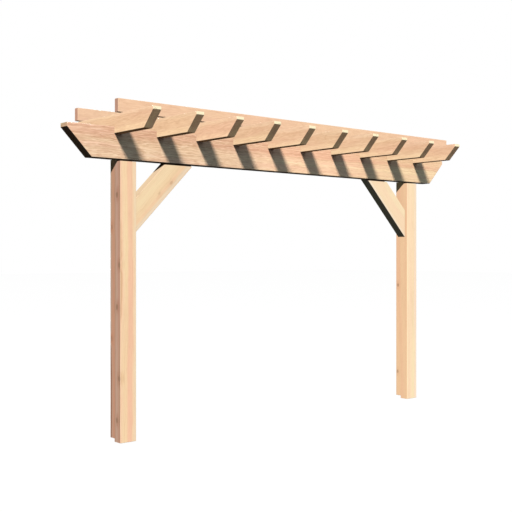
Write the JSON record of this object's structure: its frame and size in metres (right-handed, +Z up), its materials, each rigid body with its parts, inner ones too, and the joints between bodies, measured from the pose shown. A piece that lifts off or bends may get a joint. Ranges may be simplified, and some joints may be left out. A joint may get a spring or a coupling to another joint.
{
  "type": "timber pergola",
  "caption": "Two-post timber pergola: a deep beam on knee braces carries cross rafters with undercut ends and two purlins on top.",
  "frame": {"origin": "middle of the left post, on the face its foot stands on", "axes": "+X along the beam towards the right post, +Y towards the back, +Z up"},
  "size_m": [4.267, 1.122, 2.552],
  "materials": {
    "post_wood": "planed, untreated",
    "beam_wood": "planed, untreated",
    "brace_wood": "planed, untreated",
    "rafter_wood": "planed, untreated",
    "purlin_wood": "planed, untreated"
  },
  "bodies": {
    "root": {"left_post": "post_wood", "right_post": "post_wood", "main_beam": "beam_wood", "left_brace": "brace_wood", "right_brace": "brace_wood", "rafter_01": "rafter_wood", "rafter_02": "rafter_wood", "rafter_03": "rafter_wood", "rafter_04": "rafter_wood", "rafter_05": "rafter_wood", "rafter_06": "rafter_wood", "rafter_07": "rafter_wood", "rafter_08": "rafter_wood", "rafter_09": "rafter_wood", "rafter_10": "rafter_wood", "front_purlin": "purlin_wood", "back_purlin": "purlin_wood"}
  },
  "joints": []
}
